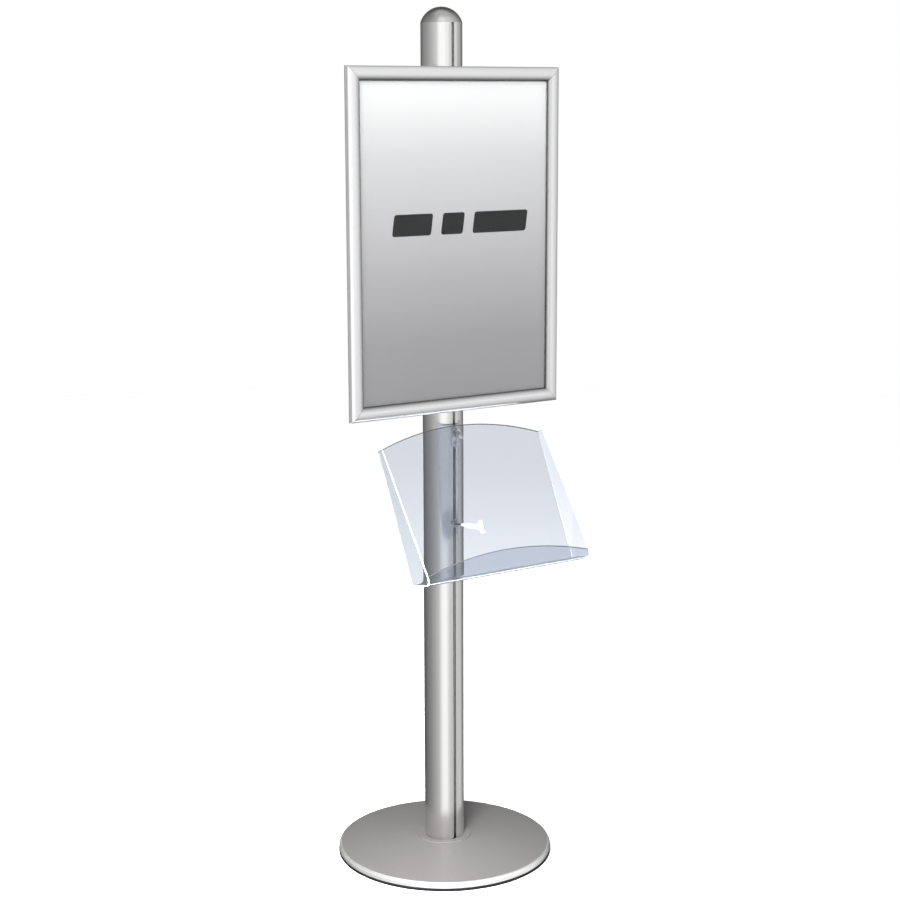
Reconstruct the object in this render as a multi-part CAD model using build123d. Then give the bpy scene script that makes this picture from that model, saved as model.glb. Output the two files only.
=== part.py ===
from build123d import *
import math
import os

# A free-standing display stand: a heavy round base, a slotted round post with a domed cap,
# a hinged-rail poster frame and a clear leaflet tray held off the post by a T-shaped prop.
# Millimetres. Origin on the floor at the post's axis, +Z up, the poster faces -Y.

os.makedirs("parts", exist_ok=True)

# ---------------------------------------------------------------- driving dimensions
POST_RADIUS = 45.0
POST_WALL = 2.5
POST_FLAT = 44.0            # distance of the slotted flats from the post's axis
POST_TOP = 1874.0
CAP_HEIGHT = 34.0

SLOT_MOUTH = 6.6
SLOT_LIP = 3.5
SLOT_POCKET_HALF = 8.0
SLOT_POCKET_DEPTH = 7.5
SLOT_WALL = 2.0

BASE_RADIUS = 245.0
RIM_TOP = 21.0
CONE_TOP = 35.6
COLLAR_RADIUS = 62.0
COLLAR_THICKNESS = 2.4
MAT_THICKNESS = 2.0
PLATE_THICKNESS = 12.0
RING_HEIGHT = 8.0

WINDOW_WIDTH = 480.0        # visible poster area
WINDOW_HEIGHT = 680.0
RAIL_WIDTH = 32.0
FRAME_BOTTOM = 1039.0
FRAME_BACK = 49.0           # distance of the frame's back face from the post's axis
POSTER_MARGIN = 22.0        # from the frame's outer edge to the poster's edge

TRAY_TILT = 26.3            # back panel, from the vertical
TRAY_START = 69.0           # panel's back face at its straight top line, from the axis
TRAY_TOP = 974.0
TRAY_WIDTH = 428.0
TRAY_SHEET = 3.0
TRAY_BACK_LENGTH = 300.0
TRAY_LIP_LINE = 315.0       # distance of the lip's lower edge down the panel
TRAY_DEPTH = 68.0           # depth at the lip, square to the panel
TRAY_TOP_DEPTH = 18.0       # depth of the side cheeks at their top
TRAY_ARCH = 37.0            # rise of the panel's top edge at the middle
LIP_END_HEIGHT = 21.0
LIP_MIDDLE_HEIGHT = 51.0

PROP_SLOT_Z = 782.0         # where the prop's stem leaves the slot
PROP_REACH = 195.0          # where its foot meets the panel, down the panel

FIT = 0.3                   # gap between parts that move past each other
PLAY = 0.05                 # radial play of a pin or a screw in its hole

# ---------------------------------------------------------------- derived sizes
OUTER_WIDTH = WINDOW_WIDTH + 2 * RAIL_WIDTH
OUTER_HEIGHT = WINDOW_HEIGHT + 2 * RAIL_WIDTH
FRAME_TOP = FRAME_BOTTOM + OUTER_HEIGHT
FRAME_MIDDLE = (FRAME_BOTTOM + FRAME_TOP) / 2
PLATE_TOP = MAT_THICKNESS + PLATE_THICKNESS
POST_INNER = POST_RADIUS - POST_WALL
POCKET_FRONT = POST_FLAT - SLOT_LIP
POCKET_BACK = POCKET_FRONT - SLOT_POCKET_DEPTH
CHANNEL_HALF = SLOT_POCKET_HALF + SLOT_WALL
CHANNEL_BACK = POCKET_BACK - SLOT_WALL
TOTAL_HEIGHT = POST_TOP + CAP_HEIGHT


def save(name, *solids):
    """Write one node's STEP file; several solids make a group of separate pieces."""
    shape = solids[0] if len(solids) == 1 else Compound(list(solids))
    export_step(shape, f"parts/{name}.step")


def block(x_range, y_range, z_range):
    """Box between two corners."""
    ranges = (x_range, y_range, z_range)
    lengths = [high - low for low, high in ranges]
    centre = [(low + high) / 2 for low, high in ranges]
    return Pos(*centre) * Box(*lengths)


def rod(radius, start, end):
    """Round bar between two points."""
    start, end = Vector(*start), Vector(*end)
    direction = end - start
    plane = Plane(origin=start, z_dir=direction)
    return extrude(plane * Circle(radius), direction.length)


def first_solid(shape):
    """The single solid of a boolean result."""
    return shape.solids()[0]


# ---------------------------------------------------------------- fasteners
def socket_recess(plane, width, depth):
    """Hexagon socket cut into a screw's head, at the plane, going down into it."""
    return extrude(plane * RegularPolygon(width / 2, 6), -depth)


def pan_screw(head_face, shank_radius, length, head_radius, head_height):
    """Button-head screw; the plane lies under the head, its z_dir points out of it."""
    head = extrude(head_face * Circle(head_radius), head_height)
    rim = head.faces().sort_by(lambda face: head_face.to_local_coords(face.center()).Z)[-1]
    head = fillet(rim.edges(), head_height * 0.55)
    top = head_face.offset(head_height)
    screw = head + extrude(head_face * Circle(shank_radius), -length)
    return first_solid(screw - socket_recess(top, head_radius, head_height * 0.6))


def flush_screw(face, shank_radius, length, head_radius):
    """Countersunk screw; the plane is the surface it sits flush with, z_dir outwards."""
    head_depth = head_radius - shank_radius
    cone = loft([face * Circle(head_radius), face.offset(-head_depth) * Circle(shank_radius)])
    screw = cone + extrude(face * Circle(shank_radius), -length)
    return first_solid(screw - socket_recess(face, head_radius, head_depth * 0.7))


def flush_hole(face, shank_radius, length, head_radius):
    """The cut that a countersunk screw sits in."""
    head_depth = head_radius - shank_radius
    cone = loft([face * Circle(head_radius), face.offset(-head_depth) * Circle(shank_radius)])
    return cone + extrude(face * Circle(shank_radius), -length)


M6_RADIUS = 3.0
M6_HEAD = 5.8
M4_RADIUS = 2.0
M4_HEAD = 4.0


SLOT_NUT_HALF = 7.0          # half the width of every nut in the front slot
SLOT_NUT_THICKNESS = 4.5


def slot_nut(z_low, z_high, screw_levels):
    """Sliding nut in the front slot's pocket, with a threaded hole at each level."""
    front = POCKET_FRONT - FIT
    nut = block((-SLOT_NUT_HALF, SLOT_NUT_HALF), (-front, -front + SLOT_NUT_THICKNESS), (z_low, z_high))
    nut = fillet(nut.edges().filter_by(Axis.Y), 2.0)
    for level in screw_levels:
        nut -= rod(M6_RADIUS, (0, -front - 1, level), (0, -front + 6, level))
    return first_solid(nut)


def front_plane(distance, z, x=0.0):
    """Plane facing the viewer, at a distance in front of the post's axis."""
    return Plane(origin=(x, -distance, z), x_dir=(1, 0, 0), z_dir=(0, -1, 0))


# ---------------------------------------------------------------- base
BOLT_CIRCLE_RADIUS = 25.0
BOLT_RADIUS = 4.0
BOLT_ANGLES = (45, 135, 225, 315)
COUNTERBORE_RADIUS = 8.0
COUNTERBORE_DEPTH = 8.2
WASHER_THICKNESS = 1.5
BOLT_HEAD_HEIGHT = 6.0
PLUG_HEIGHT = 30.0
COVER_SKIN = 1.5
SET_SCREW_RADIUS = 2.5
SET_SCREW_Z = 30.0


def bolt_places():
    """The four bolt positions under the post."""
    for angle in BOLT_ANGLES:
        turn = math.radians(angle)
        yield BOLT_CIRCLE_RADIUS * math.cos(turn), BOLT_CIRCLE_RADIUS * math.sin(turn)


def make_base_mat():
    """Rubber sheet glued under the weight plate."""
    return Cylinder(BASE_RADIUS - 5.5, MAT_THICKNESS, align=(Align.CENTER, Align.CENTER, Align.MIN))


def make_weight_plate():
    """Thick steel disc with counterbored bolt holes."""
    plate = Pos(0, 0, MAT_THICKNESS) * Cylinder(
        BASE_RADIUS - 5.5, PLATE_THICKNESS, align=(Align.CENTER, Align.CENTER, Align.MIN)
    )
    for x, y in bolt_places():
        plate -= rod(COUNTERBORE_RADIUS, (x, y, 0), (x, y, MAT_THICKNESS + COUNTERBORE_DEPTH))
        plate -= rod(BOLT_RADIUS + 0.2, (x, y, 0), (x, y, PLATE_TOP + 1))
    return first_solid(plate)


def make_edge_ring():
    """Black rubber bumper round the foot of the base."""
    outer, inner = BASE_RADIUS + 1.0, BASE_RADIUS - 5.3
    with BuildPart() as ring:
        with BuildSketch(Plane.XZ):
            with BuildLine():
                Polyline((inner, 0), (outer - 4, 0), (outer, 2.5), (outer, RING_HEIGHT - 1))
                Polyline(
                    (outer, RING_HEIGHT - 1), (outer - 1, RING_HEIGHT),
                    (inner, RING_HEIGHT), (inner, 0),
                )
            make_face()
        revolve(axis=Axis.Z)
    return ring.part.solids()[0]


def make_base_cover():
    """Spun cover: rounded rim, shallow cone and a flat seat for the collar."""
    lower = RING_HEIGHT + 0.3
    skin = COVER_SKIN
    rim_side = RIM_TOP - 6.0
    with BuildPart() as cover:
        with BuildSketch(Plane.XZ):
            with BuildLine():
                Line((BASE_RADIUS, lower), (BASE_RADIUS, rim_side))
                RadiusArc((BASE_RADIUS, rim_side), (BASE_RADIUS - 6.0, RIM_TOP), -6.5)
                Line((BASE_RADIUS - 6.0, RIM_TOP), (COLLAR_RADIUS, CONE_TOP))
                Line((COLLAR_RADIUS, CONE_TOP), (POST_RADIUS + FIT, CONE_TOP))
                Line((POST_RADIUS + FIT, CONE_TOP), (POST_RADIUS + FIT, CONE_TOP - skin))
                Line((POST_RADIUS + FIT, CONE_TOP - skin), (COLLAR_RADIUS, CONE_TOP - skin))
                Line((COLLAR_RADIUS, CONE_TOP - skin), (BASE_RADIUS - 6.2, RIM_TOP - skin))
                RadiusArc((BASE_RADIUS - 6.2, RIM_TOP - skin), (BASE_RADIUS - skin, rim_side), 5.0)
                Line((BASE_RADIUS - skin, rim_side), (BASE_RADIUS - skin, lower))
                Line((BASE_RADIUS - skin, lower), (BASE_RADIUS, lower))
            make_face()
        revolve(axis=Axis.Z)
    return cover.part.solids()[0]


def make_base_collar():
    """Flat ring that hides the joint between cover and post."""
    collar = rod(COLLAR_RADIUS, (0, 0, CONE_TOP), (0, 0, CONE_TOP + COLLAR_THICKNESS))
    collar = chamfer(collar.edges().group_by(Axis.Z)[-1], 0.8)
    return first_solid(collar - rod(POST_RADIUS + FIT, (0, 0, CONE_TOP - 1), (0, 0, CONE_TOP + 5)))


def channel_clearance(z_low, z_high):
    """Room for the two slot channels inside the post."""
    half = CHANNEL_HALF + FIT
    near, far = CHANNEL_BACK - FIT, POST_INNER + 1
    front = block((-half, half), (-far, -near), (z_low, z_high))
    return front + block((-half, half), (near, far), (z_low, z_high))


def make_foot_plug():
    """Cast plug in the foot of the post, with four threaded holes."""
    plug_top = PLATE_TOP + PLUG_HEIGHT
    plug = rod(POST_INNER - 0.2, (0, 0, PLATE_TOP), (0, 0, plug_top))
    plug -= channel_clearance(PLATE_TOP - 1, plug_top + 1)
    for x, y in bolt_places():
        plug -= rod(BOLT_RADIUS + PLAY, (x, y, PLATE_TOP - 1), (x, y, PLATE_TOP + 24))
    reach = POST_RADIUS + 1
    plug -= rod(SET_SCREW_RADIUS + PLAY, (-reach, 0, SET_SCREW_Z), (reach, 0, SET_SCREW_Z))
    return first_solid(plug)


def make_base_bolts():
    """Four hexagon-socket bolts, heads up inside the counterbores."""
    head_top = MAT_THICKNESS + COUNTERBORE_DEPTH - WASHER_THICKNESS
    head_low = head_top - BOLT_HEAD_HEIGHT
    bolts = []
    for x, y in bolt_places():
        bolt = rod(6.5, (x, y, head_low), (x, y, head_top))
        bolt += rod(BOLT_RADIUS, (x, y, head_low), (x, y, PLATE_TOP + 22))
        bolt -= socket_recess(Plane(origin=(x, y, head_low), z_dir=(0, 0, -1)), 7.0, 4.0)
        bolts.append(first_solid(bolt))
    return bolts


def make_base_washers():
    """Plain washers under the bolt heads."""
    top = MAT_THICKNESS + COUNTERBORE_DEPTH
    washers = []
    for x, y in bolt_places():
        washer = rod(7.6, (x, y, top - WASHER_THICKNESS), (x, y, top))
        washers.append(first_solid(washer - rod(BOLT_RADIUS + PLAY, (x, y, 0), (x, y, top + 1))))
    return washers


def make_plug_screws():
    """Two set screws through the post's wall into the foot plug."""
    screws = []
    for side in (-1, 1):
        inner, outer = side * 28.0, side * (POST_RADIUS - 0.3)
        screw = rod(SET_SCREW_RADIUS, (inner, 0, SET_SCREW_Z), (outer, 0, SET_SCREW_Z))
        face = Plane(origin=(outer, 0, SET_SCREW_Z), z_dir=(side, 0, 0))
        screws.append(first_solid(screw - socket_recess(face, 2.6, 3.0)))
    return screws


# ---------------------------------------------------------------- post and cap
def post_section():
    """Round tube with a flat, a T-slot and an inner channel on the front and the back."""
    section = Circle(POST_RADIUS) - Circle(POST_INNER)
    channel_middle = (CHANNEL_BACK + POCKET_FRONT + 1) / 2
    channel_height = POCKET_FRONT + 1 - CHANNEL_BACK
    for side in (-1, 1):
        section += Pos(0, side * channel_middle) * Rectangle(2 * CHANNEL_HALF, channel_height)
        lip_middle = (POCKET_FRONT + POST_FLAT) / 2
        section += Pos(0, side * lip_middle) * Rectangle(2 * CHANNEL_HALF, SLOT_LIP)
    for side in (-1, 1):
        pocket_middle = (POCKET_BACK + POCKET_FRONT) / 2
        section -= Pos(0, side * pocket_middle) * Rectangle(2 * SLOT_POCKET_HALF, SLOT_POCKET_DEPTH)
        section -= Pos(0, side * POST_FLAT) * Rectangle(SLOT_MOUTH, 2 * SLOT_LIP + 1)
        section -= Pos(0, side * (POST_FLAT + 5)) * Rectangle(2 * POST_RADIUS, 10)
    return section


def make_post():
    """The extruded aluminium post."""
    post = extrude(Plane.XY.offset(PLATE_TOP) * post_section(), POST_TOP - PLATE_TOP)
    reach = POST_RADIUS + 1
    post -= rod(SET_SCREW_RADIUS + PLAY, (-reach, 0, SET_SCREW_Z), (-POST_INNER + 1, 0, SET_SCREW_Z))
    post -= rod(SET_SCREW_RADIUS + PLAY, (POST_INNER - 1, 0, SET_SCREW_Z), (reach, 0, SET_SCREW_Z))
    return first_solid(post)


CAP_SKIRT = 1.0
CAP_SKIN = 2.5
SPIGOT_LENGTH = 14.0
SPIGOT_RADIUS = POST_INNER - 0.2


def dome_arc(radius, height, base):
    """Half outline of a spherical dome, from its rim to its crown."""
    sphere = (radius ** 2 + height ** 2) / (2 * height)
    centre = base + height - sphere
    start = math.degrees(math.atan2(base - centre, radius))
    return CenterArc((0, centre), sphere, start, 90 - start)


def make_top_cap():
    """Domed metal cap with a spigot that grips inside the post, turned as one shell."""
    dome_height = CAP_HEIGHT - CAP_SKIRT
    dome_base = POST_TOP + CAP_SKIRT
    spigot_low = POST_TOP - SPIGOT_LENGTH
    inner = SPIGOT_RADIUS - CAP_SKIN
    outside = dome_arc(POST_RADIUS, dome_height, dome_base)
    inside = dome_arc(inner, dome_height - CAP_SKIN, dome_base)
    side = Polyline(
        (inner, dome_base), (inner, spigot_low), (SPIGOT_RADIUS, spigot_low),
        (SPIGOT_RADIUS, POST_TOP), (POST_RADIUS, POST_TOP), (POST_RADIUS, dome_base),
    )
    crown = Line((0, TOTAL_HEIGHT), (0, TOTAL_HEIGHT - CAP_SKIN))
    cap = revolve(Plane.XZ * make_face([outside, inside, side, crown]), Axis.Z)
    return first_solid(cap - channel_clearance(spigot_low - 1, POST_TOP))


# ---------------------------------------------------------------- poster frame
# A rail's section is drawn with X from the frame's outer edge inwards and Y forwards
# from the frame's back face; the rail runs along Z and is mitred at both ends.
HINGE_INSET = 3.4
HINGE_FORWARD = 7.8
HINGE_BEAD = 1.5
FLANGE_START = 0.4
FLANGE_END = 29.0
FLANGE_THICKNESS = 2.0
RAIL_SPRING_LINE = 7.0      # where the snap rail's curved back springs from
RAIL_RISE = 8.5
RAIL_SKIN = 1.6
KEY_START = 9.7
KEY_END = 16.5
BOARD_INSET = 18.0
BOARD_THICKNESS = 3.0
POSTER_THICKNESS = 0.5
COVER_THICKNESS = 0.7
COVER_GAP = 0.1              # air between the poster and its cover

SIDES = {
    "left": ((-OUTER_WIDTH / 2, FRAME_MIDDLE), (1, 0, 0), (0, 0, -1), OUTER_HEIGHT),
    "right": ((OUTER_WIDTH / 2, FRAME_MIDDLE), (-1, 0, 0), (0, 0, 1), OUTER_HEIGHT),
    "top": ((0, FRAME_TOP), (0, 0, -1), (-1, 0, 0), OUTER_WIDTH),
    "bottom": ((0, FRAME_BOTTOM), (0, 0, 1), (1, 0, 0), OUTER_WIDTH),
}


def side_plane(side):
    """Plane of a rail's section, at the middle of that side of the frame."""
    (x, z), inwards, along, _ = SIDES[side]
    return Plane(origin=(x, -FRAME_BACK, z), x_dir=inwards, z_dir=along)


def mitred(section, length, gap):
    """Extrude a section to the side's length and cut both ends at 45 degrees."""
    bar = extrude(section, length / 2, both=True)
    reach = 40.0
    half = length / 2 - gap
    outline = Polyline(
        (-reach, half + reach), (reach, half - reach),
        (reach, -half + reach), (-reach, -half - reach), close=True,
    )
    return first_solid(bar & extrude(Plane.XZ * make_face(outline), 60, both=True))


def base_rail_section():
    """Fixed rail: back flange, outer wall with a hinge bead, and two locating ribs."""
    flange_width = FLANGE_END - FLANGE_START
    section = Pos((FLANGE_START + FLANGE_END) / 2, FLANGE_THICKNESS / 2) * Rectangle(
        flange_width, FLANGE_THICKNESS
    )
    wall_height = HINGE_FORWARD - 1.0
    section += Pos(HINGE_INSET, 1.0 + wall_height / 2) * Rectangle(1.2, wall_height)
    section += Pos(HINGE_INSET, HINGE_FORWARD) * Circle(HINGE_BEAD)
    section += Pos(KEY_START - 0.8, 2.5) * Rectangle(1.0, 3.0)
    section += Pos(BOARD_INSET - 0.8, 2.75) * Rectangle(0.9, 3.5)
    return section


def socket_side(degrees, reach):
    """Point on one side of the hinge socket's mouth, at a reach from the hinge line."""
    turn = math.radians(degrees)
    return (HINGE_INSET + reach * math.cos(turn), HINGE_FORWARD + reach * math.sin(turn))


def snap_rail_section():
    """Hinged rail: a rounded hollow back, a clamping lip and an open hinge socket."""
    middle = RAIL_WIDTH / 2
    crown = Pos(middle, RAIL_SPRING_LINE) * Ellipse(middle, RAIL_RISE)
    hollow = Pos(middle, RAIL_SPRING_LINE) * Ellipse(middle - RAIL_SKIN, RAIL_RISE - RAIL_SKIN)
    below = Pos(middle, RAIL_SPRING_LINE - 10) * Rectangle(2 * RAIL_WIDTH, 20)
    lobe = Pos(HINGE_INSET, HINGE_FORWARD) * Circle(3.0)
    section = (crown - hollow - below) + (lobe & (crown + below))
    far = 12.0
    first = socket_side(135, far)
    last = socket_side(-15, far)
    opening = make_face(
        Polyline((HINGE_INSET, HINGE_FORWARD), first, (-far, -far), (last[0], -far), last, close=True)
    )
    section -= opening
    section -= Pos(HINGE_INSET, HINGE_FORWARD) * Circle(HINGE_BEAD + PLAY)
    return max(section.faces(), key=lambda face: face.area)


def make_frame_rails():
    """Four fixed rails and the four hinged rails in front of them."""
    fixed, hinged = {}, {}
    for side in SIDES:
        length = SIDES[side][3]
        location = side_plane(side).location
        fixed[side] = location * mitred(base_rail_section(), length, 0.05)
        hinged[side] = location * mitred(snap_rail_section(), length, 0.3)
    return fixed, hinged


def make_corner_keys():
    """Four L-shaped keys inside the corners of the fixed rails."""
    keys = []
    leg = 48.0
    front, back = -FRAME_BACK - FLANGE_THICKNESS - 2.0, -FRAME_BACK - FLANGE_THICKNESS - PLAY
    for x_sign in (-1, 1):
        for z_sign in (-1, 1):
            corner_x = x_sign * OUTER_WIDTH / 2
            corner_z = FRAME_MIDDLE + z_sign * OUTER_HEIGHT / 2
            legs = []
            for x_reach, z_reach in ((KEY_END, leg), (leg, KEY_END)):
                xs = sorted((corner_x - x_sign * KEY_START, corner_x - x_sign * x_reach))
                zs = sorted((corner_z - z_sign * KEY_START, corner_z - z_sign * z_reach))
                legs.append(block(xs, (front, back), zs))
            keys.append(first_solid(legs[0] + legs[1]))
    return keys


SPRING_LENGTH = 26.0
SPRING_RISE = 3.2
SPRING_SHEET = 0.6


def make_snap_springs():
    """Bowed leaf springs seated in the fixed rails, three on a long side, two on a short."""
    half = SPRING_LENGTH / 2
    crest = SPRING_RISE + SPRING_SHEET
    arch = ThreePointArc((-half, 0), (0, SPRING_RISE), (half, 0))
    upper = ThreePointArc((-half, SPRING_SHEET), (0, crest), (half, SPRING_SHEET))
    ends = [Line(arch @ 0, upper @ 0), Line(arch @ 1, upper @ 1)]
    leaf_face = make_face([arch, upper, *ends])
    width = KEY_END - KEY_START
    seat = Plane(origin=(KEY_START, 0, 0), x_dir=(0, 0, -1), z_dir=(1, 0, 0))
    leaf = extrude(seat * leaf_face, width)
    springs = []
    for side, (_, _, _, length) in SIDES.items():
        count = 3 if length == OUTER_HEIGHT else 2
        for index in range(count):
            along = (index - (count - 1) / 2) * length * 0.3
            raised = Pos(0, FLANGE_THICKNESS + PLAY, along) * leaf
            springs.append(first_solid(side_plane(side).location * raised))
    return springs


def make_sheet(inset, start, thickness):
    """A flat sheet held inside the rails; start is its back face from the frame's back."""
    half_width = OUTER_WIDTH / 2 - inset
    back = -(FRAME_BACK + start)
    return block(
        (-half_width, half_width), (back - thickness, back), (FRAME_BOTTOM + inset, FRAME_TOP - inset)
    )


# ---------------------------------------------------------------- frame fixings
BAR_HALF_HEIGHT = 16.0
BAR_HALF_LENGTH = 258.0
BAR_LEVELS = {"lower": FRAME_BOTTOM + 112, "upper": FRAME_TOP - 112}
BAR_SCREW_X = 252.0
BAR_SCREW_STEP = 8.0
BAR_SCREW_LENGTH = 6.8


def make_cross_bar(level):
    """Flat bar behind the frame, clamped to the post and screwed to both side rails."""
    bar = block(
        (-BAR_HALF_LENGTH, BAR_HALF_LENGTH), (-FRAME_BACK, -POST_FLAT),
        (level - BAR_HALF_HEIGHT, level + BAR_HALF_HEIGHT),
    )
    bar = fillet(bar.edges().filter_by(Axis.Y), 4.0)
    for step in (-BAR_SCREW_STEP, BAR_SCREW_STEP):
        bar -= flush_hole(front_plane(FRAME_BACK, level + step), M6_RADIUS + PLAY, 8, M6_HEAD + PLAY)
        for x in (-BAR_SCREW_X, BAR_SCREW_X):
            bar -= rod(M4_RADIUS + PLAY, (x, -FRAME_BACK - 1, level + step), (x, 0, level + step))
    return first_solid(bar)


def drill_side_rail(rail):
    """Holes in a side rail's flange for the cross bars' screws."""
    for level in BAR_LEVELS.values():
        for step in (-BAR_SCREW_STEP, BAR_SCREW_STEP):
            for x in (-BAR_SCREW_X, BAR_SCREW_X):
                start = (x, -FRAME_BACK + 1, level + step)
                rail -= rod(M4_RADIUS + PLAY, start, (x, -FRAME_BACK - FLANGE_THICKNESS - 1, level + step))
    return first_solid(rail)


def make_bar_screws():
    """Eight screws from behind, through the bars into the side rails."""
    screws = []
    for level in BAR_LEVELS.values():
        for step in (-BAR_SCREW_STEP, BAR_SCREW_STEP):
            for x in (-BAR_SCREW_X, BAR_SCREW_X):
                face = Plane(origin=(x, -POST_FLAT, level + step), z_dir=(0, 1, 0))
                screws.append(pan_screw(face, M4_RADIUS, BAR_SCREW_LENGTH, M4_HEAD, 2.4))
    return screws


CLAMP_SCREW_LENGTH = 12.5


def make_clamp_screws():
    """Four flush screws that clamp the cross bars to the slot nuts."""
    screws = []
    for level in BAR_LEVELS.values():
        for step in (-BAR_SCREW_STEP, BAR_SCREW_STEP):
            face = front_plane(FRAME_BACK, level + step)
            screws.append(flush_screw(face, M6_RADIUS - PLAY, CLAMP_SCREW_LENGTH, M6_HEAD))
    return screws


def make_frame_nuts():
    """The two slot nuts behind the cross bars."""
    return [
        slot_nut(level - 17, level + 17, (level - BAR_SCREW_STEP, level + BAR_SCREW_STEP))
        for level in BAR_LEVELS.values()
    ]


# ---------------------------------------------------------------- leaflet tray
# The tray is drawn on its back panel: X across, Y up the panel, Z forwards and upwards.
TILT = math.radians(TRAY_TILT)
TRAY_PLANE = Plane(
    origin=(0, -TRAY_START, TRAY_TOP),
    x_dir=(1, 0, 0),
    z_dir=(0, -math.cos(TILT), math.sin(TILT)),
)
SHEET_HALF_WIDTH = TRAY_WIDTH / 2 - TRAY_SHEET
SHEET_BEND = 7.0
CHEEK_CORNER = 4.0
LEAF_LOW, LEAF_HIGH = 4.0, 32.0         # hinge leaf, up the panel
LEAF_HALF_WIDTH = 9.0
LEAF_THICKNESS = 2.5
LEAF_SCREWS = (10.2, 26.0)
PIN_ALONG = 18.0
PIN_BEHIND = 7.5
PIN_RADIUS = 2.5
BARREL_RADIUS = 4.8
BARREL_HALF = 5.0
EAR_THICKNESS = 3.0
EAR_RADIUS = 4.5
PIN_POINT = TRAY_PLANE.from_local_coords((0, PIN_ALONG, -PIN_BEHIND))

BRACKET_LOW, BRACKET_HIGH = PIN_POINT.Z - 27.4, PIN_POINT.Z + 15.6
BRACKET_HALF_WIDTH = 9.0
BRACKET_THICKNESS = 3.5
BRACKET_SCREWS = (BRACKET_LOW + 7.5, BRACKET_HIGH - 6.5)


def leaf_screw_plane(along):
    """Front face of the panel at one of its two fixing screws."""
    return TRAY_PLANE * Pos(0, along, TRAY_SHEET)


def arch_cut(side_level, middle_level, z_low, z_high):
    """Everything above an arched edge, in the tray's own axes."""
    wide = TRAY_WIDTH
    arch = ThreePointArc(
        (-SHEET_HALF_WIDTH, side_level), (0, middle_level), (SHEET_HALF_WIDTH, side_level)
    )
    border = Polyline(
        (SHEET_HALF_WIDTH, side_level), (wide, side_level), (wide, wide), (-wide, wide),
        (-wide, side_level), (-SHEET_HALF_WIDTH, side_level),
    )
    return extrude(Plane.XY.offset(z_low) * make_face([arch, border]), z_high - z_low)


def make_tray_sheet():
    """Back panel, floor and lip, bent from one clear sheet, with both free edges arched."""
    outer = [
        (TRAY_ARCH + 1, 0), (-TRAY_BACK_LENGTH, 0), (-TRAY_LIP_LINE, TRAY_DEPTH),
        (LIP_MIDDLE_HEIGHT + 1 - TRAY_LIP_LINE, TRAY_DEPTH),
    ]
    centre_line = FilletPolyline(*outer, radius=SHEET_BEND + TRAY_SHEET)
    wall = offset(centre_line, amount=TRAY_SHEET, side=Side.RIGHT, closed=False)
    ends = [Line(centre_line @ 0, wall @ 0), Line(centre_line @ 1, wall @ 1)]
    face = make_face([*centre_line.edges(), *wall.edges(), *ends])
    across = Plane(origin=(0, 0, 0), x_dir=(0, 1, 0), z_dir=(1, 0, 0))
    sheet = extrude(across * face, SHEET_HALF_WIDTH, both=True)
    sheet -= arch_cut(0, TRAY_ARCH, -1, TRAY_DEPTH / 2)
    lip_sides = LIP_END_HEIGHT - TRAY_LIP_LINE
    lip_middle = LIP_MIDDLE_HEIGHT - TRAY_LIP_LINE
    sheet -= arch_cut(lip_sides, lip_middle, TRAY_DEPTH / 2, TRAY_DEPTH + 1)
    for along in LEAF_SCREWS:
        sheet -= Pos(0, along, 0) * Cylinder(M4_RADIUS + PLAY, 4 * TRAY_SHEET)
    return first_solid(TRAY_PLANE.location * sheet)


def make_tray_cheek(side):
    """Flat side cheek, glued to the ends of the bent sheet."""
    corners = [
        (0, 0), (-TRAY_BACK_LENGTH, 0), (-TRAY_LIP_LINE, TRAY_DEPTH),
        (LIP_END_HEIGHT - TRAY_LIP_LINE, TRAY_DEPTH), (0, TRAY_TOP_DEPTH),
    ]
    across = Plane(origin=(0, 0, 0), x_dir=(0, 1, 0), z_dir=(1, 0, 0))
    face = make_face(Polyline(*corners, close=True))
    bends = 1 - TRAY_BACK_LENGTH
    face = fillet([corner for corner in face.vertices() if corner.X > bends], CHEEK_CORNER)
    face = fillet([corner for corner in face.vertices() if corner.X < bends], SHEET_BEND + TRAY_SHEET)
    start = SHEET_HALF_WIDTH if side > 0 else -SHEET_HALF_WIDTH - TRAY_SHEET
    return first_solid(TRAY_PLANE.location * Pos(start, 0, 0) * extrude(across * face, TRAY_SHEET))


def make_hinge_leaf():
    """Leaf screwed behind the panel, with a barrel round the hinge pin."""
    leaf = block(
        (-LEAF_HALF_WIDTH, LEAF_HALF_WIDTH), (LEAF_LOW, LEAF_HIGH), (-LEAF_THICKNESS, 0)
    )
    leaf = fillet(leaf.edges().filter_by(Axis.Z), 3.0)
    barrel_ends = [(x, PIN_ALONG, -PIN_BEHIND) for x in (-BARREL_HALF, BARREL_HALF)]
    leaf += rod(BARREL_RADIUS, *barrel_ends)
    leaf += block((-BARREL_HALF, BARREL_HALF), (PIN_ALONG - 4, PIN_ALONG + 4), (-PIN_BEHIND, -1))
    leaf -= rod(PIN_RADIUS + PLAY, (-20, PIN_ALONG, -PIN_BEHIND), (20, PIN_ALONG, -PIN_BEHIND))
    for along in LEAF_SCREWS:
        leaf -= Pos(0, along, 0) * Cylinder(M4_RADIUS + PLAY, 4 * LEAF_THICKNESS)
    return first_solid(TRAY_PLANE.location * leaf)


def make_leaf_screws():
    """Two button-head screws that hold the panel to the hinge leaf."""
    length = TRAY_SHEET + LEAF_THICKNESS + WASHER_THICKNESS - 1.0
    screws = []
    for along in LEAF_SCREWS:
        face = Plane(leaf_screw_plane(along)).offset(1.0)
        screws.append(pan_screw(face, M4_RADIUS, length, M4_HEAD, 2.6))
    return screws


def make_leaf_washers():
    """Washers between the screw heads and the clear panel."""
    washers = []
    for along in LEAF_SCREWS:
        face = Plane(leaf_screw_plane(along))
        ring = extrude(face * (Circle(5.2) - Circle(M4_RADIUS + PLAY)), 1.0)
        washers.append(first_solid(ring))
    return washers


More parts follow.
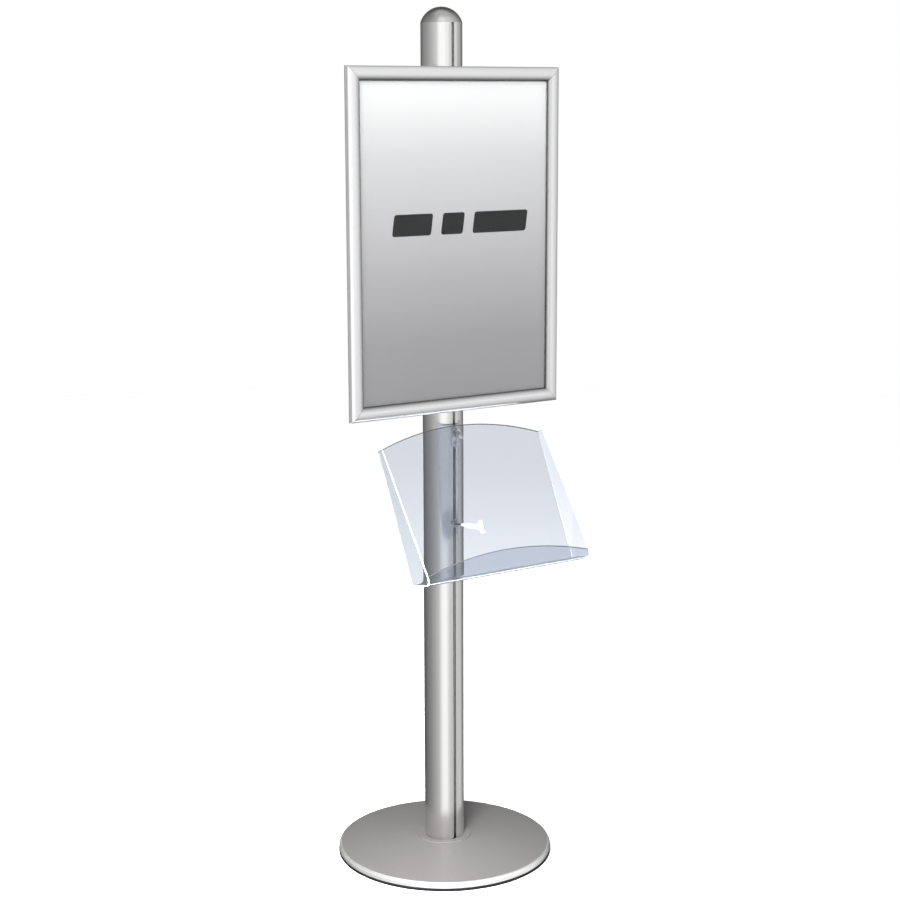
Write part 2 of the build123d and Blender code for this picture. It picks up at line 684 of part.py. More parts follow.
def make_shelf_bracket():
    """Bracket on the post's front flat, with two ears that carry the hinge pin."""
    front = -POST_FLAT - BRACKET_THICKNESS
    width = (-BRACKET_HALF_WIDTH, BRACKET_HALF_WIDTH)
    plate = block(width, (front, -POST_FLAT), (BRACKET_LOW, BRACKET_HIGH))
    plate = fillet(plate.edges().filter_by(Axis.Y), 3.0)
    pin_y, pin_z = PIN_POINT.Y, PIN_POINT.Z
    inner = BARREL_HALF + FIT
    for side in (-1, 1):
        xs = sorted((side * inner, side * (inner + EAR_THICKNESS)))
        ear = rod(EAR_RADIUS, (xs[0], pin_y, pin_z), (xs[1], pin_y, pin_z))
        ear += block(xs, (pin_y, front + 0.5), (pin_z - EAR_RADIUS, pin_z + EAR_RADIUS))
        plate += ear
    plate -= rod(PIN_RADIUS, (-20, pin_y, pin_z), (20, pin_y, pin_z))
    for level in BRACKET_SCREWS:
        plate -= flush_hole(front_plane(-front, level), M6_RADIUS + PLAY, 8, M6_HEAD + PLAY)
    return first_solid(plate)


def make_bracket_screws():
    """Two flush screws that clamp the bracket to its slot nut."""
    front = POST_FLAT + BRACKET_THICKNESS
    faces = [front_plane(front, level) for level in BRACKET_SCREWS]
    return [flush_screw(face, M6_RADIUS - PLAY, 11.0, M6_HEAD) for face in faces]


def make_hinge_pin():
    """Steel pin pressed into the bracket's ears."""
    half = BARREL_HALF + FIT + EAR_THICKNESS + 0.6
    return rod(PIN_RADIUS, (-half, PIN_POINT.Y, PIN_POINT.Z), (half, PIN_POINT.Y, PIN_POINT.Z))


# ---------------------------------------------------------------- prop
FOOT_RADIUS = 5.5
FOOT_HALF_LENGTH = 14.0
FOOT_GAP = 0.5
STEM_RADIUS = 2.0
STEM_SOCKET = 12.0
ARM_RADIUS = 6.5
ARM_LENGTH = 52.0
NECK_RADIUS = 3.6
NECK_LENGTH = 24.0
THUMB_NUT_RADIUS = 4.8
THUMB_NUT_THICKNESS = 3.5
THUMB_NUT_NOTCHES = 14
THUMB_NUT_NOTCH = 0.5
THUMB_NUT_LIFT = 0.5         # the sloping stem crosses the flat a little above its slot level
PROP_NUT_HALF = 9.0

FOOT_CENTRE = TRAY_PLANE.from_local_coords((0, -PROP_REACH, -FOOT_GAP - FOOT_RADIUS))
STEM_START = Vector(0, -POCKET_FRONT + 2, PROP_SLOT_Z)
PROP_DIRECTION = (FOOT_CENTRE - STEM_START).normalized()
PROP_LENGTH = (FOOT_CENTRE - STEM_START).length


def prop_point(distance_from_foot):
    """Point on the prop's axis, measured back from the foot's centre."""
    return tuple(FOOT_CENTRE - PROP_DIRECTION * distance_from_foot)


def make_prop_nut():
    """Small slot nut that the stem screws into."""
    front = POCKET_FRONT - FIT
    levels = (PROP_SLOT_Z - PROP_NUT_HALF, PROP_SLOT_Z + PROP_NUT_HALF)
    nut = block((-SLOT_NUT_HALF, SLOT_NUT_HALF), (-front, -front + SLOT_NUT_THICKNESS), levels)
    nut = fillet(nut.edges().filter_by(Axis.Y), 2.0)
    hole = rod(STEM_RADIUS + PLAY, prop_point(PROP_LENGTH + 8), prop_point(PROP_LENGTH - 8))
    return first_solid(nut - hole)


def make_prop_locknut():
    """Small knurled nut that locks the prop against the post's front flat."""
    face = front_plane(POST_FLAT + FIT, PROP_SLOT_Z + THUMB_NUT_LIFT)
    nut = extrude(face * Circle(THUMB_NUT_RADIUS), THUMB_NUT_THICKNESS)
    for index in range(THUMB_NUT_NOTCHES):
        turn = 2 * math.pi * index / THUMB_NUT_NOTCHES
        spot = Pos(THUMB_NUT_RADIUS * math.cos(turn), THUMB_NUT_RADIUS * math.sin(turn))
        nut -= extrude(face * spot * Circle(THUMB_NUT_NOTCH), THUMB_NUT_THICKNESS)
    hole = rod(STEM_RADIUS + 0.25, prop_point(PROP_LENGTH + 8), prop_point(PROP_LENGTH - 20))
    return first_solid(nut - hole)


def make_prop_stem():
    """Thin steel rod from the slot nut into the plastic arm."""
    return rod(STEM_RADIUS, tuple(STEM_START), prop_point(ARM_LENGTH + NECK_LENGTH - STEM_SOCKET))


def make_prop_arm():
    """White plastic arm: a neck, a round body and a shoulder under the foot."""
    body = rod(ARM_RADIUS, prop_point(ARM_LENGTH), prop_point(FOOT_RADIUS - 0.5))
    body = fillet(body.edges(), 1.5)
    neck_end = ARM_LENGTH + NECK_LENGTH
    body += rod(NECK_RADIUS, prop_point(neck_end), prop_point(ARM_LENGTH - 4))
    body -= rod(STEM_RADIUS + PLAY, prop_point(neck_end + 1), prop_point(neck_end - STEM_SOCKET))
    body -= rod(FOOT_RADIUS, *foot_ends())
    return first_solid(body)


def foot_ends():
    """The two ends of the foot bar, parallel to the panel."""
    behind = -FOOT_GAP - FOOT_RADIUS
    ends = (-PROP_REACH - FOOT_HALF_LENGTH, -PROP_REACH + FOOT_HALF_LENGTH)
    return [tuple(TRAY_PLANE.from_local_coords((0, along, behind))) for along in ends]


def make_prop_foot():
    """Round bar that lies against the back of the panel."""
    foot = rod(FOOT_RADIUS, *foot_ends())
    return first_solid(fillet(foot.edges(), 1.5))


# ---------------------------------------------------------------- build
def main():
    save("base_mat", make_base_mat())
    save("base_weight_plate", make_weight_plate())
    save("base_edge_ring", make_edge_ring())
    save("base_cover", make_base_cover())
    save("base_collar", make_base_collar())
    save("foot_plug", make_foot_plug())
    save("base_bolts", *make_base_bolts())
    save("base_washers", *make_base_washers())
    save("plug_screws", *make_plug_screws())
    save("post", make_post())
    save("top_cap", make_top_cap())

    fixed, hinged = make_frame_rails()
    for side in SIDES:
        rail = fixed[side]
        save(f"frame_rail_{side}", drill_side_rail(rail) if side in ("left", "right") else rail)
        save(f"snap_rail_{side}", hinged[side])
    save("corner_keys", *make_corner_keys())
    save("snap_springs", *make_snap_springs())
    save("backboard", make_sheet(BOARD_INSET, FLANGE_THICKNESS, BOARD_THICKNESS))
    poster_start = FLANGE_THICKNESS + BOARD_THICKNESS
    save("poster", make_sheet(POSTER_MARGIN, poster_start, POSTER_THICKNESS))
    cover_start = poster_start + POSTER_THICKNESS + COVER_GAP
    save("poster_cover", make_sheet(POSTER_MARGIN, cover_start, COVER_THICKNESS))
    for name, level in BAR_LEVELS.items():
        save(f"cross_bar_{name}", make_cross_bar(level))
    save("bar_screws", *make_bar_screws())
    save("frame_clamp_screws", *make_clamp_screws())
    save("frame_slot_nuts", *make_frame_nuts())

    save("shelf_bracket", make_shelf_bracket())
    save("bracket_screws", *make_bracket_screws())
    save("bracket_slot_nut", slot_nut(BRACKET_LOW, BRACKET_HIGH, BRACKET_SCREWS))
    save("hinge_pin", make_hinge_pin())
    save("hinge_leaf", make_hinge_leaf())
    save("leaf_screws", *make_leaf_screws())
    save("leaf_washers", *make_leaf_washers())
    save("tray_sheet", make_tray_sheet())
    save("tray_cheek_left", make_tray_cheek(-1))
    save("tray_cheek_right", make_tray_cheek(1))

    save("prop_slot_nut", make_prop_nut())
    save("prop_locknut", make_prop_locknut())
    save("prop_stem", make_prop_stem())
    save("prop_arm", make_prop_arm())
    save("prop_foot", make_prop_foot())


main()
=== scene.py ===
"""Looks of a free-standing sign stand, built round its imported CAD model.

Metres, in the model's own frame: origin on the floor at the post's axis, +Z up, the poster faces -Y.
"""

import math

import bpy
from mathutils import Matrix, Vector


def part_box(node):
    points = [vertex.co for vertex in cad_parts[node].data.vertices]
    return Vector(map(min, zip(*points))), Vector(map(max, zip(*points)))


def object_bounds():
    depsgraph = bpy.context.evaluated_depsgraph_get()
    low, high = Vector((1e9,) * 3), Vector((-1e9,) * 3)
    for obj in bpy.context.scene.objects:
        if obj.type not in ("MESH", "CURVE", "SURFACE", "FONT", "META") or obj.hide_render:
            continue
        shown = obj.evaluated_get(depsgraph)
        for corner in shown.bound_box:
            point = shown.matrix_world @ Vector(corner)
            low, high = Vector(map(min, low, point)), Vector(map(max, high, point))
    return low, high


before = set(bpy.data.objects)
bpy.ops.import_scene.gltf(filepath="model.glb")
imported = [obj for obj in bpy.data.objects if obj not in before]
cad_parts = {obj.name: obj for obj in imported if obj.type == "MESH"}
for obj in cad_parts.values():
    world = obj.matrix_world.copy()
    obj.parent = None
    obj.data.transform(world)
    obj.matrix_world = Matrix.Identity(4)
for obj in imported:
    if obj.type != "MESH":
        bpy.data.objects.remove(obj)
cad_low, cad_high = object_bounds()
UP = Vector((0.0, 0.0, 1.0))
ACROSS = Vector((1.0, 0.0, 0.0))         # along the poster's width

# ---------------------------------------------------------------- camera
CAMERA_AZIMUTH = math.radians(33.589)    # to the left of the way the poster faces
CAMERA_DISTANCE = 3.9844                 # level, from the post's axis
CAMERA_HEIGHT = 1.7125
CAMERA_PITCH = math.radians(10.919)      # downwards
CAMERA_YAW = math.radians(0.225)
CAMERA_ROLL = math.radians(-0.187)
CAMERA_LENS = 72.61                      # millimetres
CAMERA_SENSOR = 36.0                     # millimetres wide

# Level directions from the stand towards the camera, and to the camera's right.
TO_CAMERA = Vector((-math.sin(CAMERA_AZIMUTH), -math.cos(CAMERA_AZIMUTH), 0.0))
TO_RIGHT = Vector((math.cos(CAMERA_AZIMUTH), -math.sin(CAMERA_AZIMUTH), 0.0))


def from_stand(nearer, rightward, height):
    """Place given by metres towards the camera, to its right and above the floor."""
    return nearer * TO_CAMERA + rightward * TO_RIGHT + height * UP


def link_object(name, data):
    made = bpy.data.objects.new(name, data)
    bpy.context.scene.collection.objects.link(made)
    return made


def make_camera():
    level = math.cos(CAMERA_YAW) * -TO_CAMERA + math.sin(CAMERA_YAW) * TO_RIGHT
    look = math.cos(CAMERA_PITCH) * level - math.sin(CAMERA_PITCH) * UP
    data = bpy.data.cameras.new("camera")
    data.sensor_width = CAMERA_SENSOR
    data.lens = CAMERA_LENS
    camera = link_object("camera", data)
    camera.rotation_mode = "QUATERNION"
    camera.location = from_stand(CAMERA_DISTANCE, 0.0, CAMERA_HEIGHT)
    turn = look.to_track_quat("-Z", "Y") @ Matrix.Rotation(CAMERA_ROLL, 3, "Z").to_quaternion()
    camera.rotation_quaternion = turn
    bpy.context.scene.camera = camera


# ---------------------------------------------------------------- node helpers
# Places of a Mix node's colour sockets, whose names it shares with its other kinds of data.
MIX_FIRST, MIX_SECOND, MIX_RESULT = 6, 7, 2


def as_rgba(colour):
    """A grey level or three parts as an opaque colour."""
    parts = (colour,) * 3 if isinstance(colour, (int, float)) else colour
    return (*parts, 1.0)


class Shader:
    """A small builder for one node tree. A value is a number, a colour or another node's socket."""

    def __init__(self, tree):
        self.tree = tree
        self.tree.nodes.clear()

    def add(self, kind, **settings):
        node = self.tree.nodes.new(kind)
        for name, value in settings.items():
            setattr(node, name, value)
        return node

    def put(self, socket, value):
        if isinstance(value, bpy.types.NodeSocket):
            self.tree.links.new(value, socket)
        elif socket.type == "RGBA":
            socket.default_value = as_rgba(value)
        else:
            socket.default_value = value

    def math(self, operation, *values, clamp=False):
        node = self.add("ShaderNodeMath", operation=operation, use_clamp=clamp)
        for socket, value in zip(node.inputs, values):
            self.put(socket, value)
        return node.outputs[0]

    def span(self, value, low, high, new_low=0.0, new_high=1.0, smooth=False):
        """Map one range onto another, held at both ends."""
        node = self.add("ShaderNodeMapRange")
        node.interpolation_type = "SMOOTHSTEP" if smooth else "LINEAR"
        for socket, number in zip(node.inputs[1:5], (low, high, new_low, new_high)):
            socket.default_value = number
        self.put(node.inputs[0], value)
        return node.outputs[0]

    def vary(self, noise, low=0.0, high=1.0, reach=0.2):
        """Spread the middle of a noise, half of it either way, over a range."""
        return self.span(noise, 0.5 - reach, 0.5 + reach, low, high)

    def hypotenuse(self, first, second):
        squares = [self.math("POWER", value, 2.0) for value in (first, second)]
        return self.math("SQRT", self.math("ADD", *squares))

    def ramp(self, value, *stops):
        """Colour ramp with stops of (position, colour)."""
        node = self.add("ShaderNodeValToRGB")
        elements = node.color_ramp.elements
        while len(elements) < len(stops):
            elements.new(0.5)
        for element, (position, colour) in zip(elements, stops):
            element.position = position
            element.color = as_rgba(colour)
        self.put(node.inputs["Fac"], value)
        return node.outputs["Color"]

    def mix(self, factor, first, second, blend_type="MIX"):
        node = self.add("ShaderNodeMix", data_type="RGBA", blend_type=blend_type)
        self.put(node.inputs["Factor"], factor)
        self.put(node.inputs[MIX_FIRST], first)
        self.put(node.inputs[MIX_SECOND], second)
        return node.outputs[MIX_RESULT]

    def place(self):
        """Position in the model's own frame."""
        return self.add("ShaderNodeTexCoord").outputs["Object"]

    def facing(self):
        """Surface direction in the model's own frame."""
        return self.add("ShaderNodeTexCoord").outputs["Normal"]

    def axes(self, vector):
        """The three parts of a vector."""
        node = self.add("ShaderNodeSeparateXYZ")
        self.put(node.inputs[0], vector)
        return node.outputs

    def dot(self, vector, constant):
        node = self.add("ShaderNodeVectorMath", operation="DOT_PRODUCT")
        self.put(node.inputs[0], vector)
        node.inputs[1].default_value = constant
        return node.outputs["Value"]

    def scaled(self, vector, scale):
        node = self.add("ShaderNodeMapping")
        node.inputs["Scale"].default_value = scale
        self.put(node.inputs["Vector"], vector)
        return node.outputs["Vector"]

    def noise(self, vector, scale, detail=4.0, roughness=0.55):
        node = self.add("ShaderNodeTexNoise")
        self.put(node.inputs["Vector"], vector)
        node.inputs["Scale"].default_value = scale
        node.inputs["Detail"].default_value = detail
        node.inputs["Roughness"].default_value = roughness
        return node.outputs["Fac"]

    def bump(self, height, strength, distance):
        node = self.add("ShaderNodeBump")
        node.inputs["Strength"].default_value = strength
        node.inputs["Distance"].default_value = distance
        self.put(node.inputs["Height"], height)
        return node.outputs["Normal"]

    def principled(self, **inputs):
        """Principled shader; an underscore in a name stands for a space."""
        node = self.add("ShaderNodeBsdfPrincipled")
        for name, value in inputs.items():
            self.put(node.inputs[name.replace("_", " ")], value)
        return node.outputs[0]

    def blend(self, factor, first, second):
        """Mix two shaders."""
        node = self.add("ShaderNodeMixShader")
        for socket, value in zip(node.inputs, (factor, first, second)):
            self.put(socket, value)
        return node.outputs[0]

    def surface(self, shader):
        self.put(self.add("ShaderNodeOutputMaterial").inputs["Surface"], shader)


def new_material(name):
    material = bpy.data.materials.new(name)
    material.use_nodes = True
    return material, Shader(material.node_tree)


def assign(material, *nodes):
    for name in nodes:
        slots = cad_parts[name].data.materials
        slots.clear()
        slots.append(material)


# ---------------------------------------------------------------- metals
# Painted shade on a snap rail: its brightness, from faces that look away from the frame's middle to those
# that look at it.
RAIL_PAINTED_SHADE = (
    (0.0, 0.60), (0.08, 0.85), (0.20, 1.0), (0.56, 1.0), (0.68, 0.72), (0.82, 0.40), (0.95, 0.20),
)
RIM_STARTS = 0.0052         # the rim's polish and its painted highlight fade in between these distances from the cover's edge
RIM_IS_FULL = 0.0042
# near-white rim colour: a painted highlight for the bright band round the bullnose
RIM_PAINTED_HIGHLIGHT = (0.88, 0.88, 0.87)
LACQUER_METALLIC = 0.40
RIM_EXTRA_METALLIC = 0.52


def drawn_metal(name, colour, roughness, grain_scale, grain_depth=0.03, contrast=0.04, shade_axis=None):
    """Satin metal with fine lines along one axis, soft cloudiness and faint handling marks.

    Along the given axis, painted shade darkens faces that look back at the frame's middle, and less so
    those that look away from it.
    """
    material, s = new_material(name)
    place = s.place()
    lines = s.noise(s.scaled(place, grain_scale), 1.0, 5.0, 0.6)
    cloud = s.noise(place, 7.0, 3.0)
    marks = s.noise(place, 45.0, 6.0, 0.7)
    dark = tuple((1 - contrast) * value for value in colour)
    tone = s.mix(s.vary(lines), dark, colour)
    if shade_axis is not None:
        low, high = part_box("poster")
        offset = s.math("SUBTRACT", s.dot(place, shade_axis), shade_axis.dot(low + high) / 2)
        outward = s.math("MULTIPLY", s.dot(s.facing(), shade_axis), s.math("SIGN", offset))
        # painted shade: the tone is multiplied down by how far a face turns towards or away from the
        # frame's middle
        tone = s.mix(1.0, tone, s.ramp(s.span(outward, 1.0, -1.0), *RAIL_PAINTED_SHADE), "MULTIPLY")
    rough = s.math("ADD", s.vary(lines, roughness - 0.02, roughness + 0.03),
                   s.vary(cloud, -0.01, 0.02, reach=0.15))
    rough = s.math("ADD", rough, s.span(marks, 0.62, 0.75, 0.0, 0.05))
    s.surface(s.principled(Base_Color=tone, Metallic=1.0, Roughness=rough,
                           Normal=s.bump(lines, grain_depth, 0.0002)))
    return material


def turned_metal(name, colour, roughness):
    """Cast metal turned on a lathe: fine rings round the vertical axis."""
    material, s = new_material(name)
    place = s.place()
    axes = s.axes(place)
    profile = s.add("ShaderNodeCombineXYZ")
    s.put(profile.inputs["X"], s.hypotenuse(axes["X"], axes["Y"]))
    s.put(profile.inputs["Z"], axes["Z"])
    rings = s.noise(profile.outputs[0], 1400.0, 3.0, 0.6)
    cloud = s.noise(place, 60.0, 4.0)
    dark = tuple(0.92 * value for value in colour)
    tone = s.mix(s.vary(rings), dark, colour)
    rough = s.math("ADD", s.vary(rings, roughness - 0.03, roughness + 0.03),
                   s.vary(cloud, -0.02, 0.03, reach=0.15))
    s.surface(s.principled(Base_Color=tone, Metallic=1.0, Roughness=rough,
                           Normal=s.bump(rings, 0.05, 0.0002)))
    return material


def base_finish():
    """Grey speckled lacquer on the spun cover, with a polished rim painted near white as a highlight."""
    material, s = new_material("speckled_lacquer")
    place = s.place()
    axes = s.axes(place)
    radius = s.hypotenuse(axes["X"], axes["Y"])
    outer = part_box("base_cover")[1].x
    rim = s.span(radius, outer - RIM_STARTS, outer - RIM_IS_FULL, smooth=True)
    fine = s.noise(place, 1100.0, 3.0, 0.75)
    broad = s.noise(place, 28.0, 4.0)
    speckle = s.ramp(fine, (0.38, (0.068, 0.066, 0.065)), (0.62, (0.165, 0.160, 0.158)))
    lacquer = s.mix(s.vary(broad, 0.0, 0.3, reach=0.15), speckle, (0.114, 0.110, 0.109))
    s.surface(s.principled(
        # painted highlight: the rim zone takes the near-white colour
        Base_Color=s.mix(rim, lacquer, RIM_PAINTED_HIGHLIGHT),
        Metallic=s.math("ADD", LACQUER_METALLIC, s.math("MULTIPLY", rim, RIM_EXTRA_METALLIC)),
        Roughness=s.mix(rim, s.vary(fine, 0.36, 0.48), 0.22),
        Normal=s.bump(fine, 0.12, 0.0003),
    ))
    return material


# ---------------------------------------------------------------- plastics, board and print
def moulded(name, colour, roughness, grain=700.0, depth=0.08, shine=0.5):
    """Moulded or rubbery surface with a fine grain and slight unevenness."""
    material, s = new_material(name)
    place = s.place()
    fine = s.noise(place, grain, 4.0)
    broad = s.noise(place, 30.0, 3.0)
    dark = tuple(0.90 * value for value in colour)
    tone = s.mix(s.vary(broad), dark, colour)
    rough = s.vary(fine, roughness - 0.05, roughness + 0.06)
    s.surface(s.principled(Base_Color=tone, Roughness=rough, Specular_IOR_Level=shine,
                           Normal=s.bump(fine, depth, 0.0002)))
    return material


BAR_HEIGHT = 0.046
BAR_SPANS = ((-0.160, -0.062), (-0.036, 0.020), (0.046, 0.188))     # left and right end of each bar
BAR_BELOW_TOP = 0.31        # middle of the bars below the poster's upper edge
BAR_SLANT = 0.14            # metres to the right for each metre of height
BAR_ROUNDING = 0.006
INK_BLUR = 0.0004
INK_TONE = 0.008
PAPER_FADE = (              # tone by height, from the poster's foot to its top
    (0.03, (0.293, 0.283, 0.295)), (0.20, (0.316, 0.306, 0.318)), (0.40, (0.423, 0.413, 0.425)),
    (0.58, (0.545, 0.534, 0.545)), (0.76, (0.655, 0.648, 0.655)), (0.97, (0.90, 0.90, 0.90)),
)


def poster_print():
    """Coated paper with a soft grey fade and three plain ink bars instead of a title."""
    material, s = new_material("poster_print")
    low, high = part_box("poster")
    place = s.place()
    axes = s.axes(place)
    fade = s.ramp(s.span(axes["Z"], low.z, high.z), *PAPER_FADE)
    level = s.math("SUBTRACT", axes["Z"], high.z - BAR_BELOW_TOP)
    across = s.math("SUBTRACT", axes["X"], s.math("MULTIPLY", level, BAR_SLANT))
    over = s.math("SUBTRACT", s.math("ABSOLUTE", level), BAR_HEIGHT / 2 - BAR_ROUNDING)
    over = s.math("MAXIMUM", over, 0.0)
    ink = 0.0
    for start, end in BAR_SPANS:
        offset = s.math("ABSOLUTE", s.math("SUBTRACT", across, (start + end) / 2))
        beyond = s.math("MAXIMUM", s.math("SUBTRACT", offset, (end - start) / 2 - BAR_ROUNDING), 0.0)
        gap = s.hypotenuse(over, beyond)
        bar = s.span(gap, BAR_ROUNDING + INK_BLUR, BAR_ROUNDING, smooth=True)
        ink = s.math("MAXIMUM", ink, bar)
    fibre = s.noise(place, 900.0, 3.0)
    paper = s.mix(s.vary(fibre, 0.0, 0.03), fade, 1.0)
    s.surface(s.principled(
        Base_Color=s.mix(ink, paper, INK_TONE),
        Specular_IOR_Level=0.2,
        Roughness=s.vary(fibre, 0.40, 0.50),
        Normal=s.bump(fibre, 0.03, 0.0001),
    ))
    return material


def clear_film():
    """Thin anti-glare sheet over the poster: see-through with a weak satin reflection."""
    material, s = new_material("clear_film")
    gloss = s.add("ShaderNodeBsdfGlossy")
    gloss.inputs["Roughness"].default_value = 0.16
    weight = s.add("ShaderNodeLayerWeight")
    graze = s.math("POWER", weight.outputs["Facing"], 4.0)
    see = s.add("ShaderNodeBsdfTransparent")
    s.put(see.inputs["Color"], (0.985, 0.99, 0.99))
    s.surface(s.blend(s.span(graze, 0.0, 1.0, 0.02, 0.6), see.outputs[0], gloss.outputs[0]))
    return material


# The tray's back panel. Distances run from the straight line between its two top corners.
TRAY_LEAN = math.radians(26.3)
PANEL_START = Vector((0.0, -0.069, 0.974))      # the middle of that line
PANEL_UP = Vector((0.0, math.sin(TRAY_LEAN), math.cos(TRAY_LEAN)))
PANEL_FORWARD = Vector((0.0, -math.cos(TRAY_LEAN), math.sin(TRAY_LEAN)))
PANEL_HALF_WIDTH = 0.211
PANEL_ARCH = 0.037
LIP_SIDES = -0.294          # the lip's top edge at its ends, along the panel's direction
LIP_ARCH = 0.030
LIP_FORWARD = 0.034         # further forward than this belongs to the lip
EDGE_LINE = 0.0017          # depth of the painted shade line on either side of an arched edge
CLEAR_SHADOW = (0.90, 0.92, 0.95)
ACRYLIC_IOR = 1.49


def acrylic(name, tint, edge_rule=None):
    """Clear tinted sheet that lets lamps through.

    The edge rule returns a mask for the cut edges, painted near white as a highlight, and one for the edges
    painted dark as shade, or None.
    """
    material, s = new_material(name)
    place = s.place()
    scuffs = s.noise(place, 55.0, 6.0, 0.7)
    sheet = s.principled(Base_Color=tint, Roughness=s.span(scuffs, 0.45, 0.75, 0.0, 0.05),
                         IOR=ACRYLIC_IOR, Transmission_Weight=1.0)
    if edge_rule is not None:
        bright, painted_dark_edge = edge_rule(s, place)
        saw = s.noise(place, 900.0, 3.0)
        cut = {"IOR": ACRYLIC_IOR, "Normal": s.bump(saw, 0.1, 0.0002)}
        # painted highlight: the cut edges get a near-white colour so they show as bright lines
        polished = s.principled(Base_Color=(0.95, 0.97, 0.99), Roughness=s.vary(saw, 0.1, 0.25),
                                Transmission_Weight=0.25, **cut)
        sheet = s.blend(bright, sheet, polished)
        if painted_dark_edge is not None:
            # painted shade: a near-black colour along the arched edges stands in for the dark line they
            # show
            shaded = s.principled(Base_Color=(0.10, 0.10, 0.115), Roughness=s.vary(saw, 0.2, 0.4),
                                  Transmission_Weight=0.35, **cut)
            sheet = s.blend(painted_dark_edge, sheet, shaded)
    see = s.add("ShaderNodeBsdfTransparent")
    s.put(see.inputs["Color"], CLEAR_SHADOW)
    shadow = s.add("ShaderNodeLightPath").outputs["Is Shadow Ray"]
    s.surface(s.blend(shadow, sheet, see.outputs[0]))
    return material


def cheek_edges(s, place):
    """All faces of a side cheek other than its two large ones, which get the painted highlight."""
    return s.math("LESS_THAN", s.math("ABSOLUTE", s.dot(s.facing(), ACROSS)), 0.5), None


def sheet_edges(s, place):
    """Glued side edges of the bent sheet, painted as a highlight, and a narrow line along its two arched
    free edges, painted as shade.
    """
    glued = s.math("GREATER_THAN", s.math("ABSOLUTE", s.dot(s.facing(), ACROSS)), 0.5)
    along = s.math("SUBTRACT", s.dot(place, PANEL_UP), PANEL_START.dot(PANEL_UP))
    forward = s.math("SUBTRACT", s.dot(place, PANEL_FORWARD), PANEL_START.dot(PANEL_FORWARD))
    aside = s.math("DIVIDE", s.dot(place, ACROSS), PANEL_HALF_WIDTH)
    bow = s.math("SUBTRACT", 1.0, s.math("POWER", s.math("ABSOLUTE", aside), 2.0))
    on_lip = s.math("GREATER_THAN", forward, LIP_FORWARD)
    top_edge = s.math("MULTIPLY", bow, PANEL_ARCH)
    lip_edge = s.math("ADD", s.math("MULTIPLY", bow, LIP_ARCH), LIP_SIDES)
    edge = s.math("ADD", top_edge, s.math("MULTIPLY", on_lip, s.math("SUBTRACT", lip_edge, top_edge)))
    distance = s.math("ABSOLUTE", s.math("SUBTRACT", along, edge))
    return glued, s.math("LESS_THAN", distance, EDGE_LINE)


# ---------------------------------------------------------------- dressing the CAD nodes
SIDES = ("left", "right", "top", "bottom")
FASTENERS = (
    "base_bolts", "base_washers", "plug_screws", "corner_keys", "snap_springs", "bar_screws",
    "frame_clamp_screws", "frame_slot_nuts", "bracket_screws", "bracket_slot_nut", "hinge_pin",
    "leaf_screws", "prop_slot_nut", "prop_locknut",
)


def dress_cad_nodes():
    upright, level, even = (800.0, 800.0, 1.5), (1.5, 800.0, 800.0), (150.0, 150.0, 150.0)
    silver, rail = (0.80, 0.795, 0.79), (0.93, 0.93, 0.94)
    assign(drawn_metal("anodised_post", silver, 0.17, upright), "post", "shelf_bracket")
    assign(drawn_metal("snap_rail_upright", rail, 0.19, upright, shade_axis=ACROSS),
           "snap_rail_left", "snap_rail_right")
    assign(drawn_metal("snap_rail_level", rail, 0.19, level, shade_axis=UP),
           "snap_rail_top", "snap_rail_bottom")
    assign(drawn_metal("mill_aluminium", (0.80, 0.80, 0.81), 0.42, level, 0.08, 0.10),
           *[f"frame_rail_{side}" for side in SIDES], "cross_bar_lower", "cross_bar_upper",
           "foot_plug", "base_weight_plate")
    assign(drawn_metal("zinc_plate", (0.62, 0.62, 0.64), 0.28, even, 0.06, 0.10), *FASTENERS)
    assign(drawn_metal("dark_steel", (0.10, 0.10, 0.105), 0.35, even, 0.06, 0.15), "prop_stem")
    assign(turned_metal("turned_cap", (0.60, 0.60, 0.585), 0.13), "top_cap")
    assign(base_finish(), "base_cover", "base_collar")
    assign(moulded("black_rubber", (0.006, 0.006, 0.007), 0.7, shine=0.12), "base_mat", "base_edge_ring")
    assign(moulded("white_plastic", (0.90, 0.90, 0.90), 0.32), "prop_arm", "prop_foot")
    assign(moulded("white_board", (0.76, 0.76, 0.76), 0.5), "backboard")
    panel_tint, plain_tint = (0.655, 0.69, 0.75), (0.96, 0.97, 0.98)
    # the far cheek's darker tint is painted shade on the same acrylic as the near cheek
    cheek_tint, far_cheek_shaded_tint = (0.93, 0.96, 0.975), (0.82, 0.855, 0.915)
    assign(acrylic("clear_moulding", plain_tint), "hinge_leaf", "leaf_washers")
    assign(acrylic("tray_sheet_acrylic", panel_tint, sheet_edges), "tray_sheet")
    assign(acrylic("left_cheek_acrylic", cheek_tint, cheek_edges), "tray_cheek_left")
    assign(acrylic("right_cheek_acrylic", far_cheek_shaded_tint, cheek_edges), "tray_cheek_right")
    assign(poster_print(), "poster")
    assign(clear_film(), "poster_cover")


# ---------------------------------------------------------------- studio
# Brightness of the studio walls round the stand, by degrees to the right of the camera's side:
# first near the floor, then from eye level up.
LOW_WALLS = (
    (-180, 0.10), (-150, 0.10), (-114, 0.19), (-78, 0.31), (-50, 0.47), (-26, 0.64), (-16, 1.0),
    (-6, 1.2), (18, 1.25), (31, 0.72), (60, 0.70), (110, 0.72), (134, 0.34), (156, 0.12), (180, 0.10),
)
HIGH_WALLS = (
    (-180, 0.12), (-150, 0.15), (-114, 0.29), (-78, 0.42), (-50, 0.60), (-26, 0.78), (-18, 1.1),
    (-8, 1.25), (14, 1.25), (34, 1.02), (50, 1.0), (67, 0.86), (90, 0.68), (110, 0.56), (134, 0.30),
    (156, 0.13), (180, 0.12),
)
CEILING = 0.70
FLOOR_SIDE = 0.20           # reflections see this below them, as the floor is hidden from them


